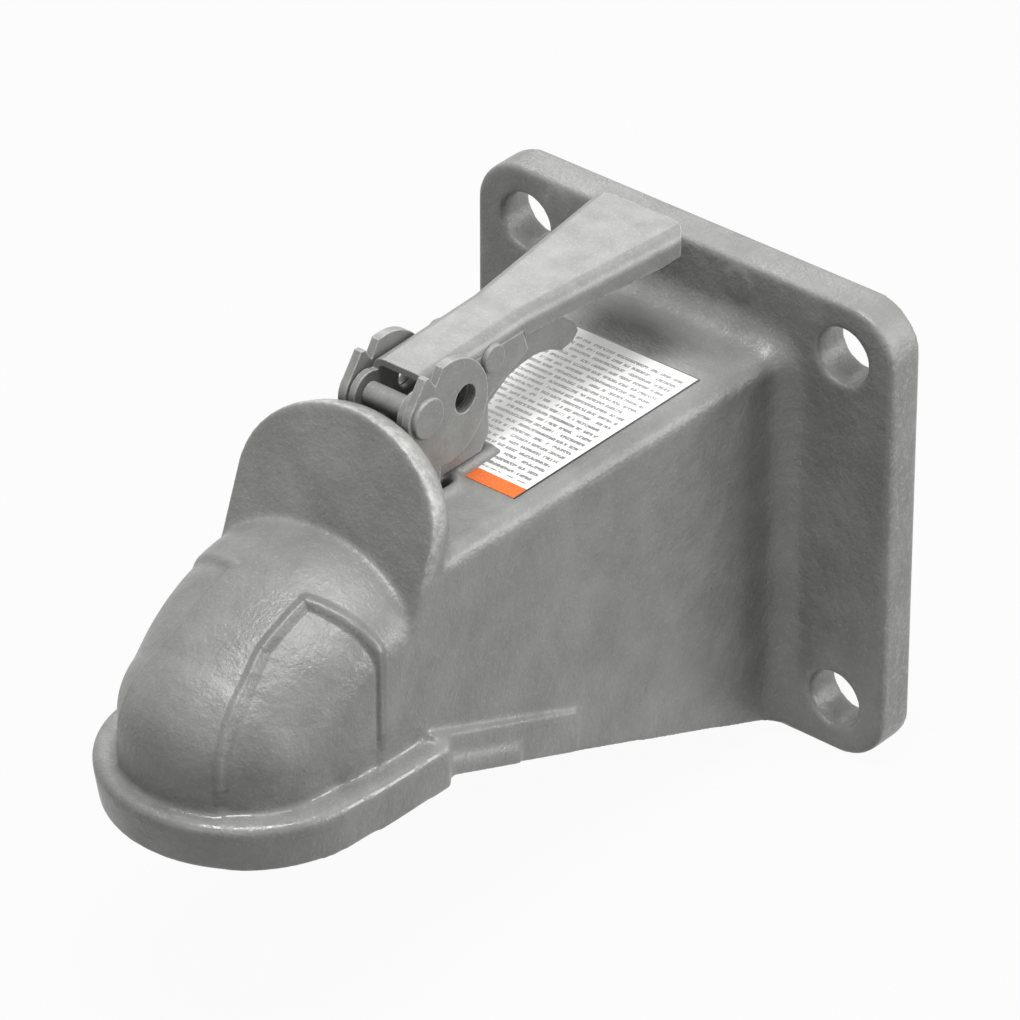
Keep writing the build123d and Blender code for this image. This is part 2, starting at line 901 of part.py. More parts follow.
# Trigger spring round the trigger pin, with one leg under the channel and one down the trigger
trigger_coil = Plane(
    origin=centre + Vector(trigger_spring_side, trigger_back, trigger_up),
    x_dir=(0, 0, 1),
    z_dir=(1, 0, 0),
) * Helix(
    pitch=trigger_spring_pitch,
    height=trigger_spring_pitch * trigger_spring_turns,
    radius=trigger_spring_radius,
)
with BuildPart() as trigger_spring:
    add(coil_wire(trigger_coil, trigger_spring_wire))
    for place, direction in ((0, -1), (1, 1)):
        with BuildSketch(
            Plane(origin=trigger_coil @ place, z_dir=(trigger_coil % place) * direction)
        ):
            Circle(trigger_spring_wire / 2)
        extrude(amount=trigger_spring_leg)
trigger_spring.part.label = "trigger_spring"

os.makedirs("parts", exist_ok=True)
export_step(coupler_casting.part, "parts/coupler_casting.step")
export_step(top_label.part, "parts/top_label.step")
export_step(ball_clamp.part, "parts/ball_clamp.step")
export_step(link_plate_left.part, "parts/link_plate_left.step")
export_step(link_plate_right.part, "parts/link_plate_right.step")
export_step(link_pin.part, "parts/link_pin.step")
export_step(link_pin_clip.part, "parts/link_pin_clip.step")
export_step(pivot_pin.part, "parts/pivot_pin.step")
export_step(pivot_spacer.part, "parts/pivot_spacer.step")
export_step(clamp_spring.part, "parts/clamp_spring.step")
export_step(lever_channel.part, "parts/lever_channel.step")
export_step(cam_plate_left.part, "parts/cam_plate_left.step")
export_step(cam_plate_right.part, "parts/cam_plate_right.step")
export_step(trigger_pin.part, "parts/trigger_pin.step")
export_step(trigger.part, "parts/trigger.step")
export_step(trigger_spring.part, "parts/trigger_spring.step")
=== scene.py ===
# %% [markdown]
# # A trailer coupling head in Blender
#
# The construction solids come in as a fixed frame, one object for each real piece, all at
# their true size in metres. This lesson gives them their looks: grey paint over a rough
# sand casting, smoother paint over pressed steel, a printed film label, soft studio light
# and a camera at the angle of the photograph. Each step first says what the real thing is.

# %% Start and load the frame
import json
from math import cos, radians, sin

import bpy
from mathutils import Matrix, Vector


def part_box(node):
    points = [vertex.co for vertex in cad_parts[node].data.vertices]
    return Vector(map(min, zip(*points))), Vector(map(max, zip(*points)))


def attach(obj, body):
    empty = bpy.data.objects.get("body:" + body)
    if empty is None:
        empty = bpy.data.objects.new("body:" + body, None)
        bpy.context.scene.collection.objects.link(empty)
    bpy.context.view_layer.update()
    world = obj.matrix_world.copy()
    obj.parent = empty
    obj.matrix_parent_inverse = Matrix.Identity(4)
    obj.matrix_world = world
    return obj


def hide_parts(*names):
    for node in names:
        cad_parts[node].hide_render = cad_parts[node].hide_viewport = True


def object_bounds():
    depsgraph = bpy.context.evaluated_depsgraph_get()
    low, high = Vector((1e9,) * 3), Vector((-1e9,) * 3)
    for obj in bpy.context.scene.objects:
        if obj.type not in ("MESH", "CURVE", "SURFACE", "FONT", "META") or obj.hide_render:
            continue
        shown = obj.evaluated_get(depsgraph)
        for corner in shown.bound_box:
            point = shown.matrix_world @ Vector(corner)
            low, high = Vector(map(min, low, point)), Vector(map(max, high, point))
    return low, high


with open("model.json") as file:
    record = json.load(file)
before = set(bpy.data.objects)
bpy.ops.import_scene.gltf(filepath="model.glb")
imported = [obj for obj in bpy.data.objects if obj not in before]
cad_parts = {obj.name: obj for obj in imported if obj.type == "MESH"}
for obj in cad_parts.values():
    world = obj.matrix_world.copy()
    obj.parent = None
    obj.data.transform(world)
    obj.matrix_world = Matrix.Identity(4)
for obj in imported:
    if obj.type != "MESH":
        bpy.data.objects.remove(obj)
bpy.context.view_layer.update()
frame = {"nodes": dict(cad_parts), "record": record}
MM = 0.001
print("pieces in the frame:", len(frame["nodes"]))

# %% [markdown]
# ## Colours as a chooser shows them
#
# Colours are easiest to pick as the hex values of a colour chooser, but shaders count in
# linear light. Converting each by hand would leave numbers that nobody can picture, so one
# function does it and every finish below keeps its hex value.

# %% Colour helper
def colour(code):
    """Linear colour from an sRGB hex code."""
    channels = [int(code[place:place + 2], 16) / 255 for place in (1, 3, 5)]
    linear = [c / 12.92 if c <= 0.04045 else ((c + 0.055) / 1.055) ** 2.4 for c in channels]
    return (*linear, 1.0)


PAINT_DARK, PAINT_LIGHT = "#767775", "#868784"
print("paint grey in linear light:", [round(c, 3) for c in colour(PAINT_DARK)])

# %% [markdown]
# ## Adding a node in one step
#
# A finish is a small network: textures feed ranges and sums, and these feed the shader.
# By hand each node takes a line for every field and every link. One function takes the
# kind, the inputs and the settings together and gives back the output asked for, so a
# network reads like a recipe.
#
# Paint, film and metal all start from the Principled shader on a material output. The
# patterns read Object coordinates, which are metres here, so a texture with a scale of
# 1 / size has grains of a real size. They don't slide when a piece moves, and they need no
# unwrapping, which these solids don't have.

# %% Node and material helpers
def add_node(tree, kind, inputs=None, output=None, **settings):
    """A node with its settings made and its inputs set or linked, or one output of it."""
    node = tree.nodes.new("ShaderNode" + kind)
    for name, value in settings.items():
        setattr(node, name, value)
    for key, value in (inputs or {}).items():
        if isinstance(value, bpy.types.NodeSocket):
            tree.links.new(value, node.inputs[key])
        else:
            node.inputs[key].default_value = value
    return node if output is None else node.outputs[output]


def new_material(name):
    """A material with a Principled shader, and the place in metres that patterns read."""
    material = bpy.data.materials.new(name)
    material.use_nodes = True
    tree = material.node_tree
    tree.nodes.clear()
    shader = add_node(tree, "BsdfPrincipled")
    add_node(tree, "OutputMaterial", {"Surface": shader.outputs["BSDF"]})
    place = add_node(tree, "TexCoord", output="Object")
    return material, tree, shader, place


cast_paint, tree, shader, place = new_material("satin grey paint over sand cast iron")
print("index of refraction of the paint:", shader.inputs["IOR"].default_value)

# %% [markdown]
# ## The skin of the sand casting
#
# The body was poured in a sand mould, shot blasted and dipped in satin grey paint. The
# sand leaves millimetre grains, lumps form where the mould crumbled, the pouring leaves
# wide shallow waves, and the blasting leaves small pits. Sculpting this would need
# millions of faces, so it is relief in the shader: one bump lies on the next, from wide
# waves to fine grains, each with its own grain size and depth in millimetres.

# %% Cast paint: relief
GRAIN, LUMP, WAVE, PIT_SPACING = 1.1, 3.2, 14.0, 4.2
PIT_HEART, PIT_RIM = 0.05, 0.2
grains, lumps, waves = (
    add_node(
        tree,
        "TexNoise",
        {"Vector": place, "Scale": 1 / (size * MM), "Detail": detail, "Roughness": roughness},
        "Fac",
    )
    for size, detail, roughness in ((GRAIN, 4.0, 0.62), (LUMP, 3.0, 0.55), (WAVE, 2.0, 0.5))
)
pits = add_node(
    tree, "TexVoronoi", {"Vector": place, "Scale": 1 / (PIT_SPACING * MM)}, "Distance"
)
level = add_node(
    tree, "MapRange", {"Value": pits, "From Min": PIT_HEART, "From Max": PIT_RIM}, "Result"
)
normal = None
for height, depth, strength in (
    (waves, 1.1, 0.6), (lumps, 0.5, 0.7), (grains, 0.26, 0.8), (level, 0.15, 0.4)
):
    bump = {"Height": height, "Distance": depth * MM, "Strength": strength}
    if normal is not None:
        bump["Normal"] = normal
    normal = add_node(tree, "Bump", bump, "Normal")
print("grain sizes in mm:", GRAIN, LUMP, WAVE)

# %% [markdown]
# ## Drifting tone and gloss
#
# Dipped paint is never even: it is a little darker and glossier where it lies thick, and
# the highest grains show lighter where the coat is thin. A plain colour would look like
# plastic. Cloudy patches are a noise whose middle range is stretched, and they come back
# in most finishes, so a function makes them from a size in millimetres. Tones go over each
# other with the Mix node. It keeps a set of sockets for each kind of value, all with the
# same names, so its colour sockets go by their place in the list.

# %% Cast paint: tone and gloss
MIDDLE = (0.35, 0.65)  # where most values of a noise lie
SHARE, UNDER, OVER, MIXED = 0, 6, 7, 2  # places of the Mix node's colour sockets


def patches(tree, place, size, detail, roughness, span=MIDDLE, levels=(0.0, 1.0)):
    """Noise of a size in millimetres, stretched so that a span of it fills the levels."""
    texture = {"Vector": place, "Scale": 1 / (size * MM), "Detail": detail}
    clouds = add_node(tree, "TexNoise", {**texture, "Roughness": roughness}, "Fac")
    names = ("From Min", "From Max", "To Min", "To Max")
    ranges = dict(zip(names, (*span, *levels)))
    return add_node(tree, "MapRange", {"Value": clouds, **ranges}, "Result")


TONE_PATCH, GLOSS_PATCH = 22.0, 16.0
GLOSSY, SATIN = 0.28, 0.42
drift = patches(tree, place, TONE_PATCH, detail=5.0, roughness=0.6)
shade = add_node(
    tree,
    "Mix",
    {SHARE: drift, UNDER: colour(PAINT_DARK), OVER: colour(PAINT_LIGHT)},
    MIXED,
    data_type="RGBA",
)
thin_coat = add_node(
    tree,
    "MapRange",
    {"Value": grains, "From Min": 0.56, "From Max": 0.72, "To Min": 0.0, "To Max": 0.35},
    "Result",
)
shade = add_node(
    tree, "Mix", {SHARE: thin_coat, UNDER: shade, OVER: colour("#A3A4A1")}, MIXED, data_type="RGBA"
)
gloss = patches(
    tree, place, GLOSS_PATCH, detail=3.0, roughness=0.5, levels=(GLOSSY, SATIN)
)
print("roughness from", GLOSSY, "to", SATIN)

# %% [markdown]
# ## Pools of paint on the rim
#
# Wet paint ran down the dome and pooled on the rim round the mouth, so the rim shines in
# ragged patches on the near side. A second coat as geometry would be far too thin to show,
# so the pools are a mask in the shader. It picks the height and length of the rim, and a
# noise tears it into pools.

# %% Cast paint: where the pools lie
def band(tree, value, rise, fall):
    """1 inside a band of a value and 0 outside it, with a slope on each side."""
    up = {"Value": value, "From Min": rise[0], "From Max": rise[1]}
    down = {"Value": value, "From Min": fall[0], "From Max": fall[1], "To Min": 1.0, "To Max": 0.0}
    risen = add_node(tree, "MapRange", up, "Result")
    not_fallen = add_node(tree, "MapRange", down, "Result")
    return add_node(tree, "Math", {0: risen, 1: not_fallen}, "Value", operation="MULTIPLY")


parted = add_node(tree, "SeparateXYZ", {"Vector": place})
across, along, height = (parted.outputs[axis] for axis in "XYZ")
RIM_FOOT, RIM_TOP = (-8.0 * MM, -4.0 * MM), (2.0 * MM, 5.0 * MM)
RIM_REAR = (-200.0 * MM, -185.0 * MM)
NEAR_SIDE = (-4.0 * MM, 8.0 * MM)
POOL = 7.0
wet = band(tree, height, RIM_FOOT, RIM_TOP)
pools = patches(tree, place, POOL, detail=3.0, roughness=0.6, span=(0.44, 0.52))
before_rear = {
    "Value": along,
    "From Min": RIM_REAR[0],
    "From Max": RIM_REAR[1],
    "To Min": 1.0,
    "To Max": 0.0,
}
before_rear = add_node(tree, "MapRange", before_rear, "Result")
near = {"Value": across, "From Min": NEAR_SIDE[0], "From Max": NEAR_SIDE[1]}
near = add_node(tree, "MapRange", near, "Result")
for mask in (before_rear, pools, near):
    wet = add_node(tree, "Math", {0: wet, 1: mask}, "Value", operation="MULTIPLY")
print("rim band from", round(RIM_FOOT[0] / MM), "to", round(RIM_TOP[1] / MM), "mm")

# %% [markdown]
# ## What a pool looks like
#
# A thick wet coat levels out before it dries: it hides the sand grains under a smooth skin
# with only a slow swell, and it mirrors the light sharply. So inside the mask the
# roughness drops, and the relief changes over to the swell.

# %% Cast paint: gloss and skin of the pools
POOL_GLOSS, SWELL, SWELL_DEPTH = 0.3, 6.0, 0.3
shine = add_node(tree, "MapRange", {"Value": wet, "To Min": 1.0, "To Max": POOL_GLOSS}, "Result")
gloss = add_node(tree, "Math", {0: gloss, 1: shine}, "Value", operation="MULTIPLY")
tree.links.new(gloss, shader.inputs["Roughness"])
swell = {"Vector": place, "Scale": 1 / (SWELL * MM), "Detail": 1.0, "Roughness": 0.4}
swell = add_node(tree, "TexNoise", swell, "Fac")
skin = {"Height": swell, "Distance": SWELL_DEPTH * MM, "Strength": 0.5}
skin = add_node(tree, "Bump", skin, "Normal")
normal = add_node(
    tree, "Mix", {SHARE: wet, UNDER: normal, OVER: skin}, MIXED, data_type="RGBA"
)
print("roughness in the pools from", round(GLOSSY * POOL_GLOSS, 3))

# %% [markdown]
# ## The seam along the cheeks
#
# Each cheek is a flat wedge that rises out of the hood, and where the pattern's parts met
# a low raised seam runs along its upper edges. It is under 2 mm high, so it can be relief.
# Seen from above it follows three straight lines, and both cheeks are alike, so what is
# needed first is the distance in plan, from the middle outwards, to such a line.

# %% Cast paint: distance to a seam line
def line_distance(tree, plan, start, end):
    """Distance in plan to the line between two points, all in millimetres."""
    first, line = Vector((*start, 0)), Vector((*end, 0)) - Vector((*start, 0))
    heading = line.normalized()
    offset = add_node(tree, "VectorMath", {0: plan, 1: first}, "Vector", operation="SUBTRACT")
    step = add_node(
        tree, "VectorMath", {0: offset, 1: heading}, "Value", operation="DOT_PRODUCT"
    )
    reach = {"Value": step, "From Max": line.length, "To Max": line.length}
    step = add_node(tree, "MapRange", reach, "Result")
    nearest = add_node(
        tree, "VectorMath", {0: heading, "Scale": step}, "Vector", operation="SCALE"
    )
    return add_node(tree, "VectorMath", {0: offset, 1: nearest}, "Value", operation="DISTANCE")


from_middle = add_node(tree, "Math", {0: across}, "Value", operation="ABSOLUTE")
plan = add_node(
    tree,
    "CombineXYZ",
    {
        "X": add_node(tree, "Math", {0: from_middle, 1: MM}, "Value", operation="DIVIDE"),
        "Y": add_node(tree, "Math", {0: along, 1: MM}, "Value", operation="DIVIDE"),
    },
    "Vector",
)
APEX, KNEE, NOSE, REAR = (15.4, -218.7), (15.4, -238.7), (25.0, -282.7), (39.0, -211.2)
print("front edge of a cheek, in mm:", round((Vector(NOSE) - Vector(KNEE)).length, 1))

# %% [markdown]
# ## The seam itself
#
# The height is full on a line and falls smoothly to nothing a few millimetres beside it.
# Where two lines meet, the higher one counts, so the corner has no lump. The seam fades
# out above the rim, and it shows less on the far side.

# %% Cast paint: seam along the cheeks
SEAM_HEIGHT, SEAM_STRENGTH = 1.9, 0.9
SEAM_FOOT, SEAM_SIDES, FAR_SHARE = (4 * MM, 10 * MM), (-9 * MM, 9 * MM), 0.3
seam = 0.0
for start, end, half_width, share in (
    (APEX, REAR, 2.9, 1.0),
    (APEX, KNEE, 2.6, 0.8),
    (KNEE, NOSE, 2.8, 0.7),
):
    ridge = {
        "Value": line_distance(tree, plan, start, end),
        "From Max": half_width,
        "To Min": share,
        "To Max": 0.0,
    }
    ridge = add_node(tree, "MapRange", ridge, "Result", interpolation_type="SMOOTHSTEP")
    seam = add_node(tree, "Math", {0: ridge, 1: seam}, "Value", operation="MAXIMUM")
for value, (low, high), least in ((height, SEAM_FOOT, 0.0), (across, SEAM_SIDES, FAR_SHARE)):
    mask = {"Value": value, "From Min": low, "From Max": high, "To Min": least}
    mask = add_node(tree, "MapRange", mask, "Result")
    seam = add_node(tree, "Math", {0: seam, 1: mask}, "Value", operation="MULTIPLY")
bump = {"Height": seam, "Distance": SEAM_HEIGHT * MM, "Strength": SEAM_STRENGTH, "Normal": normal}
tree.links.new(add_node(tree, "Bump", bump, "Normal"), shader.inputs["Normal"])
print("seam height in mm:", SEAM_HEIGHT)

# %% [markdown]
# ## The chipped edge of the shield
#
# The shield stands up in front of the latch and takes the knocks, so along its edge the
# paint is chipped and the light metal tone shows. Painting an edge by hand needs a texture
# image. The shield leans back by a known angle, so the depth behind its front face is a
# sum of length and height, and a band of that depth is just its edge.

# %% Cast paint: chips along the shield
LEAN = radians(20.5)
SHIELD_FRONT = (23.3 - 234.7) * MM * cos(LEAN) - 6.2 * MM * sin(LEAN)
CHIPS_START = (SHIELD_FRONT + 0.3 * MM, SHIELD_FRONT + 1.0 * MM)
CHIPS_END = (SHIELD_FRONT + 2.5 * MM, SHIELD_FRONT + 8.0 * MM)
ABOVE_BODY = (52 * MM, 62 * MM)
CHIP, CHIP_COVER = 2.6, 0.85
turned = [
    add_node(tree, "Math", {0: value, 1: factor}, "Value", operation="MULTIPLY")
    for value, factor in ((along, cos(LEAN)), (height, -sin(LEAN)))
]
depth = add_node(tree, "Math", dict(enumerate(turned)), "Value", operation="ADD")
chipped = band(tree, depth, CHIPS_START, CHIPS_END)
raised = {"Value": height, "From Min": ABOVE_BODY[0], "From Max": ABOVE_BODY[1]}
raised = add_node(tree, "MapRange", raised, "Result")
chips = patches(
    tree, place, CHIP, detail=6.0, roughness=0.75, span=(0.4, 0.62), levels=(0.25, 1.0)
)
for mask in (raised, chips, CHIP_COVER):
    chipped = add_node(tree, "Math", {0: chipped, 1: mask}, "Value", operation="MULTIPLY")
shade = add_node(
    tree, "Mix", {SHARE: chipped, UNDER: shade, OVER: colour("#BEBEBB")}, MIXED, data_type="RGBA"
)
print("shield front is", round(SHIELD_FRONT / MM, 1), "mm along its own normal")

# %% [markdown]
# ## Light specks at the outer corners
#
# The blasting hit the outermost skin hardest, so fine light specks show there: on the two
# sides of the flange, and on the very top of the shield, which are the widest and the
# highest places of the casting. A mask from its box finds both, as the distance inwards
# from the widest and from the highest place.

# %% Cast paint: specks
casting_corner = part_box("coupler_casting")[1]
SPECK, SPECK_SHARE = 2.1, 0.45
SPECK_DEPTH = (0.5 * MM, 1.8 * MM)
inwards = [
    add_node(tree, "Math", {0: casting_corner[axis], 1: value}, "Value", operation="SUBTRACT")
    for axis, value in ((0, from_middle), (2, height))
]
skin_depth = add_node(tree, "Math", dict(enumerate(inwards)), "Value", operation="MINIMUM")
skin = {
    "Value": skin_depth,
    "From Min": SPECK_DEPTH[0],
    "From Max": SPECK_DEPTH[1],
    "To Min": 1.0,
    "To Max": 0.0,
}
skin = add_node(tree, "MapRange", skin, "Result")
specks = patches(
    tree, place, SPECK, detail=5.0, roughness=0.8, span=(0.52, 0.66), levels=(0.0, SPECK_SHARE)
)
specks = add_node(tree, "Math", {0: skin, 1: specks}, "Value", operation="MULTIPLY")
shade = add_node(
    tree, "Mix", {SHARE: specks, UNDER: shade, OVER: colour("#B4B4B1")}, MIXED, data_type="RGBA"
)
tree.links.new(shade, shader.inputs["Base Color"])
print("cast paint nodes:", len(tree.nodes))

# %% [markdown]
# ## Smoother paint over pressed steel
#
# The lever, the links and the cams are cut and pressed from sheet, so under the same grey
# they have only the fine ripple of sprayed paint and a few dents. Their edges are lighter,
# partly paint worn thin and partly a painted highlight. Bevelled meshes would round each
# edge, but the Bevel node does it in the shader: it gives the normal that a rounded edge
# would have, and these bumps lie on it.

# %% Sheet paint: relief
sheet_paint, tree, shader, place = new_material("satin grey paint over pressed steel")
RIPPLE, DENT, EDGE_RADIUS = 0.9, 9.0, 0.8
ripple, dents = (
    add_node(tree, "TexNoise", {"Vector": place, "Scale": 1 / (size * MM)}, "Fac")
    for size in (RIPPLE, DENT)
)
rounded = add_node(tree, "Bevel", {"Radius": EDGE_RADIUS * MM}, "Normal", samples=4)
normal = rounded
for height, depth, strength in ((dents, 0.3, 0.35), (ripple, 0.09, 0.6)):
    bump = {"Height": height, "Distance": depth * MM, "Strength": strength, "Normal": normal}
    normal = add_node(tree, "Bump", bump, "Normal")
tree.links.new(normal, shader.inputs["Normal"])
print("edge radius of the sheet in mm:", EDGE_RADIUS)

# %% [markdown]
# ## Worn and highlit edges of the sheet
#
# Where the rounded normal parts from the true one there is an edge, so the same node also
# says where the edges get a lighter tone: partly paint rubbed thin by hands and tools, and
# partly a painted highlight along each edge. A noise breaks this lighter tone up, since an
# even line along every edge would look drawn.

# %% Sheet paint: tone, wear with painted edge highlight, and gloss
SHEET_DARK, SHEET_LIGHT, WORN_HIGHLIGHT_TONE = "#797A78", "#8B8C89", "#D8D8D6"
EDGE_LIGHT_START, EDGE_LIGHT_FULL, EDGE_LIGHT_SHARE = 0.99, 0.9, 0.85
EDGE_LIGHT_PATCH, SHEET_PATCH = 1.8, 8.0
true_normal = add_node(tree, "NewGeometry", output="Normal")
alike = add_node(
    tree, "VectorMath", {0: rounded, 1: true_normal}, "Value", operation="DOT_PRODUCT"
)
# The lighter edge tone is partly worn paint and partly a painted highlight on the edges.
worn_and_highlit = add_node(
    tree, "MapRange", {"Value": alike, "From Min": EDGE_LIGHT_START, "From Max": EDGE_LIGHT_FULL}, "Result"
)
edge_breakup = patches(tree, place, EDGE_LIGHT_PATCH, detail=4.0, roughness=0.6, span=(0.34, 0.5))
for mask in (edge_breakup, EDGE_LIGHT_SHARE):
    worn_and_highlit = add_node(tree, "Math", {0: worn_and_highlit, 1: mask}, "Value", operation="MULTIPLY")
thin_coat = add_node(
    tree,
    "MapRange",
    {"Value": ripple, "From Min": 0.56, "From Max": 0.66, "To Min": 0.0, "To Max": 0.25},
    "Result",
)
drift = patches(tree, place, SHEET_PATCH, detail=6.0, roughness=0.62, span=(0.3, 0.7))
shade = colour(SHEET_DARK)
for share, tone in (
    (drift, SHEET_LIGHT),
    (thin_coat, "#A8A9A6"),
    (worn_and_highlit, WORN_HIGHLIGHT_TONE),
):
    shade = add_node(
        tree, "Mix", {SHARE: share, UNDER: shade, OVER: colour(tone)}, MIXED, data_type="RGBA"
    )
gloss = {"Value": dents, "From Min": MIDDLE[0], "From Max": MIDDLE[1]}
gloss = add_node(tree, "MapRange", {**gloss, "To Min": 0.36, "To Max": 0.42}, "Result")
tree.links.new(shade, shader.inputs["Base Color"])
tree.links.new(gloss, shader.inputs["Roughness"])
print("sheet paint nodes:", len(tree.nodes))

# %% [markdown]
# ## Bare pin steel and spring wire
#
# The pin under the body is turned zinc coated steel, and the springs are dark drawn wire.
# Both are metals, so their colour goes into the reflection: Metallic is 1 and the gloss
# follows fine streaks. Real turning marks are finer than a pixel here, so the streaks are
# drawn 0.6 mm wide. The pieces sit in the shade, so one plain streak does for both.

# %% Pin steel and spring wire
STREAK, STREAK_DEPTH = 0.6, 0.03


def bare_metal(name, dark, light, gloss_low, gloss_high):
    """Metal with fine streaks in its tone and gloss."""
    material, tree, shader, place = new_material(name)
    texture = {"Vector": place, "Scale": 1 / (STREAK * MM), "Detail": 3.0, "Roughness": 0.6}
    streaks = add_node(tree, "TexNoise", texture, "Fac")
    tone = {"Value": streaks, "From Min": MIDDLE[0], "From Max": MIDDLE[1]}
    tone = {SHARE: add_node(tree, "MapRange", tone, "Result"), UNDER: colour(dark)}
    shade = add_node(tree, "Mix", {**tone, OVER: colour(light)}, MIXED, data_type="RGBA")
    gloss = {"Value": streaks, "From Min": 0.3, "From Max": 0.7}
    gloss = {**gloss, "To Min": gloss_low, "To Max": gloss_high}
    bump = {"Height": streaks, "Distance": STREAK_DEPTH * MM, "Strength": 0.5}
    tree.links.new(shade, shader.inputs["Base Color"])
    tree.links.new(add_node(tree, "MapRange", gloss, "Result"), shader.inputs["Roughness"])
    tree.links.new(add_node(tree, "Bump", bump, "Normal"), shader.inputs["Normal"])
    shader.inputs["Metallic"].default_value = 1.0
    return material


pin_steel = bare_metal("zinc coated turned steel", "#9C9FA1", "#C4C7C8", 0.24, 0.4)
spring_wire = bare_metal("dark drawn spring wire", "#4B4C4E", "#6A6B6D", 0.3, 0.5)
print("bare metals:", pin_steel.name, "and", spring_wire.name)

# %% [markdown]
# ## The layout of the printed label
#
# A vinyl film lies on the body top: an orange band along the front, a thin dark border and
# rows of plain grey bars that say nothing. An image would do it too, but a pattern that is
# counted from the edges of the film needs no picture and no unwrapping. So the first step
# is the distance from each edge, in millimetres.

# %% Label film: distances from its edges
label_low, label_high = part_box("top_label")
label_film, tree, shader, place = new_material("printed vinyl film")
parted = add_node(tree, "SeparateXYZ", {"Vector": place})
across, along = parted.outputs["X"], parted.outputs["Y"]
across_mm = add_node(tree, "Math", {0: across, 1: MM}, "Value", operation="DIVIDE")
from_middle = add_node(tree, "Math", {0: across_mm}, "Value", operation="ABSOLUTE")
from_side = add_node(
    tree, "Math", {0: label_high[0] / MM, 1: from_middle}, "Value", operation="SUBTRACT"
)
from_front, from_back = (
    add_node(
        tree,
        "Math",
        {0: add_node(tree, "Math", span, "Value", operation="SUBTRACT"), 1: MM},
        "Value",
        operation="DIVIDE",
    )
    for span in ({0: along, 1: label_low[1]}, {0: label_high[1], 1: along})
)
print("label front", round(label_low[1] / MM, 1), "back", round(label_high[1] / MM, 1))

# %% [markdown]
# ## Rows of bars
#
# From a step away, the rows on such a label are short dark lengths. The rows come from the
# remainder of the distance over the row pitch. A noise that changes along each row, and
# jumps from one row to the next, breaks them into lengths, and a finer noise nibbles at
# their edges.

# %% Label film: rows and lengths
ROW_PITCH, LENGTH_GRAIN, ROW_JUMP, NIBBLE_GRAIN = 3.3, 2.4, 7.31, 0.7
row = add_node(tree, "Math", {0: from_front, 1: ROW_PITCH}, "Value", operation="DIVIDE")
row_number = add_node(tree, "Math", {0: row}, "Value", operation="FLOOR")
in_row = add_node(tree, "Math", {0: row}, "Value", operation="FRACT")
row_place = add_node(
    tree,
    "CombineXYZ",
    {
        "X": add_node(
            tree, "Math", {0: across, 1: LENGTH_GRAIN * MM}, "Value", operation="DIVIDE"
        ),
        "Y": add_node(
            tree, "Math", {0: row_number, 1: ROW_JUMP}, "Value", operation="MULTIPLY"
        ),
    },
    "Vector",
)
lengths = add_node(
    tree, "TexNoise", {"Vector": row_place, "Scale": 1.0}, "Fac", noise_dimensions="2D"
)
nibbles = add_node(
    tree, "TexNoise", {"Vector": place, "Scale": 1 / (NIBBLE_GRAIN * MM), "Detail": 1.0}, "Fac"
)
print("rows on the label:", int((label_high[1] - label_low[1]) / MM / ROW_PITCH))

# %% [markdown]
# ## Where the ink goes
#
# Ink lies where all of these hold: the middle part of a row, a length and not a gap, not
# nibbled away, and inside the margins of the film. Each is 1 or 0 after a comparison, so
# their product is the mask, and one loop multiplies them.

# %% Label film: ink mask
BAR_START, BAR_END = 0.3, 0.76
LENGTH_CUT, NIBBLE_CUT = 0.4, 0.39
BAND, SIDE_MARGIN, BAND_MARGIN, BACK_MARGIN = 6.5, 3.0, 2.0, 4.0
ink = add_node(tree, "Math", {0: in_row, 1: BAR_END}, "Value", operation="LESS_THAN")
for value, least in (
    (in_row, BAR_START),
    (lengths, LENGTH_CUT),
    (nibbles, NIBBLE_CUT),
    (from_side, SIDE_MARGIN),
    (from_front, BAND + BAND_MARGIN),
    (from_back, BACK_MARGIN),
):
    mask = add_node(tree, "Math", {0: value, 1: least}, "Value", operation="GREATER_THAN")
    ink = add_node(tree, "Math", {0: ink, 1: mask}, "Value", operation="MULTIPLY")
print("bar height in mm:", round((BAR_END - BAR_START) * ROW_PITCH, 2))

# %% [markdown]
# ## Surface of the film
#
# The film is near white with a faint cloud from its coating, which is also a little
# glossier in places, and it lies slightly wavy, so its highlight breaks up. One noise
# serves both cloud and gloss, and a wider one the waves.

# %% Label film: coating and waves
COATING, FILM_WAVE, FILM_WAVE_DEPTH = 0.5, 6.0, 0.12
coating, film_waves = (
    add_node(tree, "TexNoise", {"Vector": place, "Scale": 1 / (size * MM)}, "Fac")
    for size in (COATING, FILM_WAVE)
)
cloud, film_gloss = (
    add_node(
        tree,
        "MapRange",
        {"Value": coating, "From Min": 0.3, "From Max": 0.7, "To Min": low, "To Max": high},
        "Result",
    )
    for low, high in ((0.0, 1.0), (0.3, 0.4))
)
bump = {"Height": film_waves, "Distance": FILM_WAVE_DEPTH * MM, "Strength": 0.3}
tree.links.new(add_node(tree, "Bump", bump, "Normal"), shader.inputs["Normal"])
tree.links.new(film_gloss, shader.inputs["Roughness"])
print("film waves in mm:", FILM_WAVE)

# %% [markdown]
# ## Ink, band and border
#
# The layers go on as a printer would lay them: ink on the film, the orange band over both,
# and the dark border last. The orange is not quite even, as solid areas of print are not.

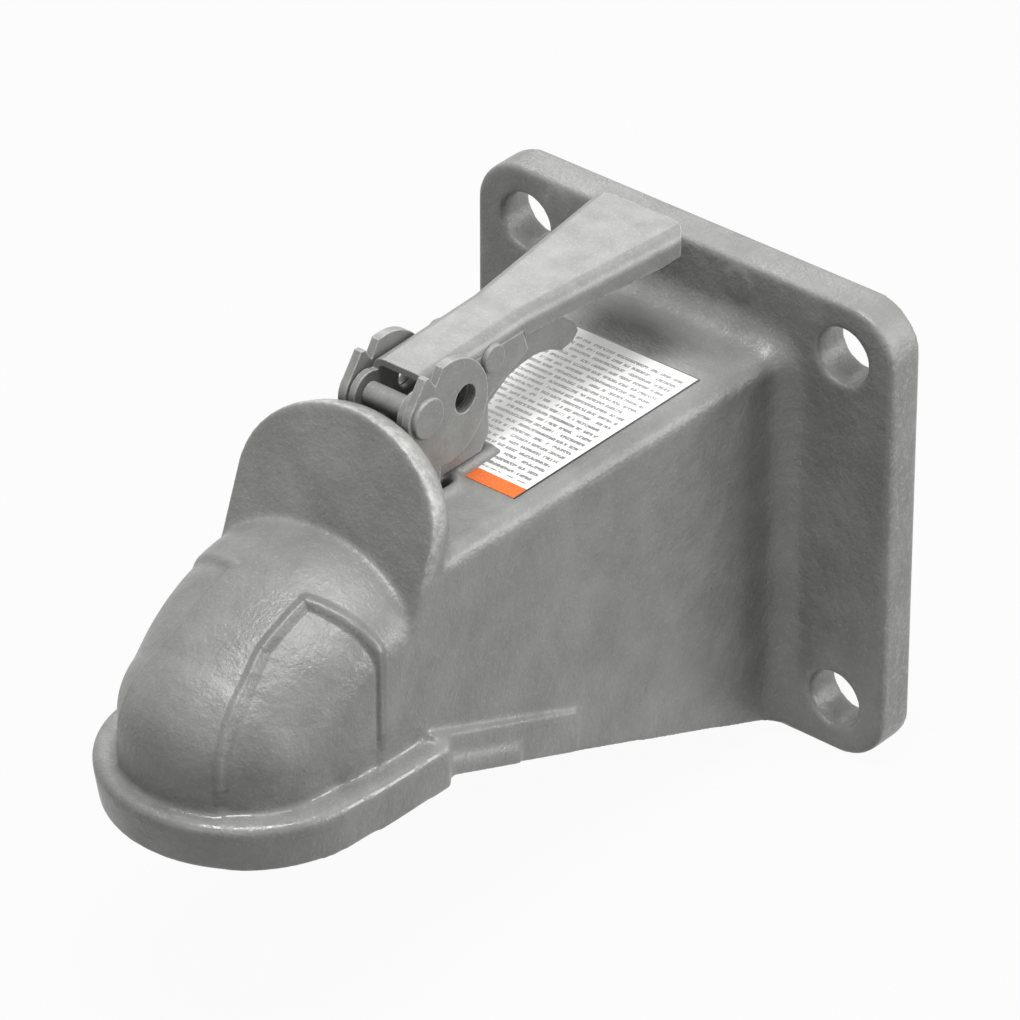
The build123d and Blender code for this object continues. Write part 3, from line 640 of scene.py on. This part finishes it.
# %% Label film: layers of print
INK_SHARE, BORDER = 0.9, 0.5
uneven = {"Value": nibbles, "From Min": MIDDLE[0], "From Max": MIDDLE[1]}
uneven = add_node(tree, "MapRange", uneven, "Result")
orange = add_node(
    tree,
    "Mix",
    {SHARE: uneven, UNDER: colour("#D8642A"), OVER: colour("#E87A3E")},
    MIXED,
    data_type="RGBA",
)
ink = add_node(tree, "Math", {0: ink, 1: INK_SHARE}, "Value", operation="MULTIPLY")
in_band = add_node(tree, "Math", {0: from_front, 1: BAND}, "Value", operation="LESS_THAN")
edges = [
    add_node(tree, "Math", {0: distance, 1: BORDER}, "Value", operation="LESS_THAN")
    for distance in (from_side, from_back)
]
border = add_node(tree, "Math", dict(enumerate(edges)), "Value", operation="MAXIMUM")
shade = colour("#E9E9E6")
for share, tone in (
    (cloud, colour("#F4F4F1")),
    (ink, colour("#6E6F71")),
    (in_band, orange),
    (border, colour("#3A3A3A")),
):
    shade = add_node(
        tree, "Mix", {SHARE: share, UNDER: shade, OVER: tone}, MIXED, data_type="RGBA"
    )
tree.links.new(shade, shader.inputs["Base Color"])
print("label film nodes:", len(tree.nodes))

# %% [markdown]
# ## Soft edges of a sand casting
#
# Molten iron does not fill a sharp corner, and sand does not hold one, so every edge and
# every joint of forms on a casting is rounded by a millimetre or two. The solid has crisp
# joints between dome, cheeks, rim and body. Bevels fail where so many curved forms meet,
# so a copy is remeshed into an even skin of small squares, smoothed, and thinned again.
# The copy stands for the casting, and the solid stays behind it for the physics.

# %% Soften a copy of the casting
WELD_REACH, VOXEL = 0.002, 0.85
SMOOTH_FACTOR, SMOOTH_STEPS, KEEP_SHARE = 0.5, 14, 0.38


def apply_modifier(piece, kind, **settings):
    """Add a modifier with its settings and apply it at once."""
    modifier = piece.modifiers.new(kind.lower(), kind)
    for name, value in settings.items():
        setattr(modifier, name, value)
    bpy.context.view_layer.objects.active = piece
    bpy.ops.object.modifier_apply(modifier=modifier.name)


casting = frame["nodes"]["coupler_casting"]
soft_casting = casting.copy()
soft_casting.data = casting.data.copy()
soft_casting.name = "soft_casting"
bpy.context.scene.collection.objects.link(soft_casting)
bpy.ops.object.select_all(action="DESELECT")
soft_casting.select_set(True)
apply_modifier(soft_casting, "WELD", merge_threshold=WELD_REACH * MM)
apply_modifier(soft_casting, "REMESH", mode="VOXEL", voxel_size=VOXEL * MM)
apply_modifier(soft_casting, "SMOOTH", factor=SMOOTH_FACTOR, iterations=SMOOTH_STEPS)
apply_modifier(soft_casting, "DECIMATE", ratio=KEEP_SHARE)
bpy.ops.object.shade_smooth()
print("soft casting faces:", len(soft_casting.data.polygons))

# %% [markdown]
# ## The soft copy takes the casting's place
#
# It then hides the solid and carries the copy through every pose.

# %% Put the copy in place
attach(soft_casting, "casting")
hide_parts("coupler_casting")
soft_casting.data.materials.clear()
soft_casting.data.materials.append(cast_paint)
print("soft casting finish:", soft_casting.data.materials[0].name)

# %% [markdown]
# ## Finishes on the pieces
#
# The record gives each piece a material slot by name. A table from slot to finish colours
# all pieces in one loop, and a new piece with a known slot would be right at once.

# %% Give each piece its finish
finishes = {
    "cast_paint": cast_paint,
    "sheet_paint": sheet_paint,
    "pin_steel": pin_steel,
    "spring_steel": spring_wire,
    "label_film": label_film,
}
slot_of = {part["node"]: part["material_slot"] for part in frame["record"]["subparts"]}
for name, piece in frame["nodes"].items():
    piece.data.materials.clear()
    piece.data.materials.append(finishes[slot_of[name]])
    print(name, "->", slot_of[name])

# %% [markdown]
# ## A pale studio floor
#
# The photograph is a cut-out on white. A wide pale floor does this: for the camera it is
# mostly plain white light, with a little of its real shading left, so the soft shadow of
# the object stays. Gloss and glass see the same white. For the light it is an ordinary
# pale floor that lifts the undersides.

# %% Floor
FLOOR_SIZE, FLOOR_GAP, WHITE_SHARE = 12.0, 0.5, 0.95
low_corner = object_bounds()[0]
bpy.ops.object.select_all(action="DESELECT")
bpy.ops.mesh.primitive_plane_add(
    size=FLOOR_SIZE, location=(0, 0, low_corner[2] - FLOOR_GAP * MM)
)
floor = bpy.context.object
floor.name = "floor"


def seen_directly(tree):
    """1 for rays of the camera, mirrors and glass, 0 for rays that carry light."""
    path = add_node(tree, "LightPath")
    seen = path.outputs["Is Camera Ray"]
    for ray in ("Is Glossy Ray", "Is Transmission Ray"):
        either = {0: seen, 1: path.outputs[ray]}
        seen = add_node(tree, "Math", either, "Value", operation="MAXIMUM")
    return seen


floor_paper = bpy.data.materials.new("pale studio floor")
floor_paper.use_nodes = True
tree = floor_paper.node_tree
tree.nodes.clear()
WHITE = colour("#FFFFFF")
share = {0: seen_directly(tree), 1: WHITE_SHARE}
share = add_node(tree, "Math", share, "Value", operation="MULTIPLY")
paper = add_node(tree, "BsdfDiffuse", {"Color": colour("#A0A0A0")}, "BSDF")
white = add_node(tree, "Emission", {"Color": WHITE, "Strength": 1.0}, "Emission")
mixed = add_node(tree, "MixShader", {"Fac": share, 1: paper, 2: white}, "Shader")
add_node(tree, "OutputMaterial", {"Surface": mixed})
floor.data.materials.append(floor_paper)
print("floor at", round(floor.location.z / MM, 1), "mm")

# %% [markdown]
# ## White air, weak light
#
# Above the floor the camera sees the world. It has to look white and yet light the object
# only weakly, or the shadows would drown. So the world is two backgrounds: full white for
# the camera, gloss and glass, and a faint one for the rays that carry light.

# %% World
AIR_STRENGTH = 0.11
world = bpy.data.worlds.new("studio air")
bpy.context.scene.world = world
world.use_nodes = True
tree = world.node_tree
tree.nodes.clear()
air, backdrop = (
    add_node(tree, "Background", {"Color": WHITE, "Strength": strength}, "Background")
    for strength in (AIR_STRENGTH, 1.0)
)
mixed = {"Fac": seen_directly(tree), 1: air, 2: backdrop}
mixed = add_node(tree, "MixShader", mixed, "Shader")
add_node(tree, "OutputWorld", {"Surface": mixed})
print("light from the air:", AIR_STRENGTH)

# %% [markdown]
# ## Soft studio light
#
# In the photograph the tops are light, the near side is middle grey and the faces towards
# the nose are dark. So a large lamp hangs overhead, and a second one stands behind on the
# near side. A weak one fills from the front, and a small one behind, beyond the far side,
# puts a sheen on what faces up. Large lamps give broad, soft highlights.

# %% Lamps
LOOK_AT = Vector((0, -0.1, 0.02))


def area_lamp(name, place, width, watts):
    """A square lamp that looks at the middle of the object."""
    lamp = bpy.data.lights.new(name, "AREA")
    lamp.shape = "SQUARE"
    lamp.size = width
    lamp.energy = watts
    holder = bpy.data.objects.new(name, lamp)
    bpy.context.scene.collection.objects.link(holder)
    holder.location = place
    holder.rotation_euler = (LOOK_AT - holder.location).to_track_quat("-Z", "Y").to_euler()
    print(name, "lamp:", round((LOOK_AT - holder.location).length, 2), "m away")


area_lamp("top", place=(0.1, -0.25, 1.7), width=0.9, watts=36.0)
area_lamp("side", place=(1.6, 1.15, 0.6), width=1.1, watts=30.0)
area_lamp("fill", place=(0.5, -1.9, 1.0), width=1.0, watts=4.5)
area_lamp("back", place=(-1.1, 1.05, 1.1), width=0.35, watts=5.0)

# %% [markdown]
# ## Camera
#
# The viewing angle was solved from the photograph: the bolt pattern, the rim circle and
# the ball dome fit a camera 40 degrees round and 33 degrees up, far away with a long lens.
# The lens and the distance only fit together, so both are kept as they were solved.

# %% Camera
AZIMUTH, ELEVATION = radians(40.06), radians(32.75)
TARGET = Vector((0, -102.0, 23.34)) * MM
DISTANCE, LENS, SENSOR_WIDTH, FARTHEST = 2.58703, 282.4, 36.0, 20.0
back = Vector(
    (sin(AZIMUTH) * cos(ELEVATION), -cos(AZIMUTH) * cos(ELEVATION), sin(ELEVATION))
)
camera_data = bpy.data.cameras.new("camera")
camera_data.sensor_width = SENSOR_WIDTH
camera_data.lens = LENS
camera_data.clip_end = FARTHEST
camera = bpy.data.objects.new("camera", camera_data)
bpy.context.scene.collection.objects.link(camera)
camera.location = TARGET + back * DISTANCE
camera.rotation_euler = (radians(90) - ELEVATION, 0, AZIMUTH)
bpy.context.scene.camera = camera
bpy.context.scene.view_settings.view_transform = "Standard"
print("camera at", [round(v, 3) for v in camera.location])
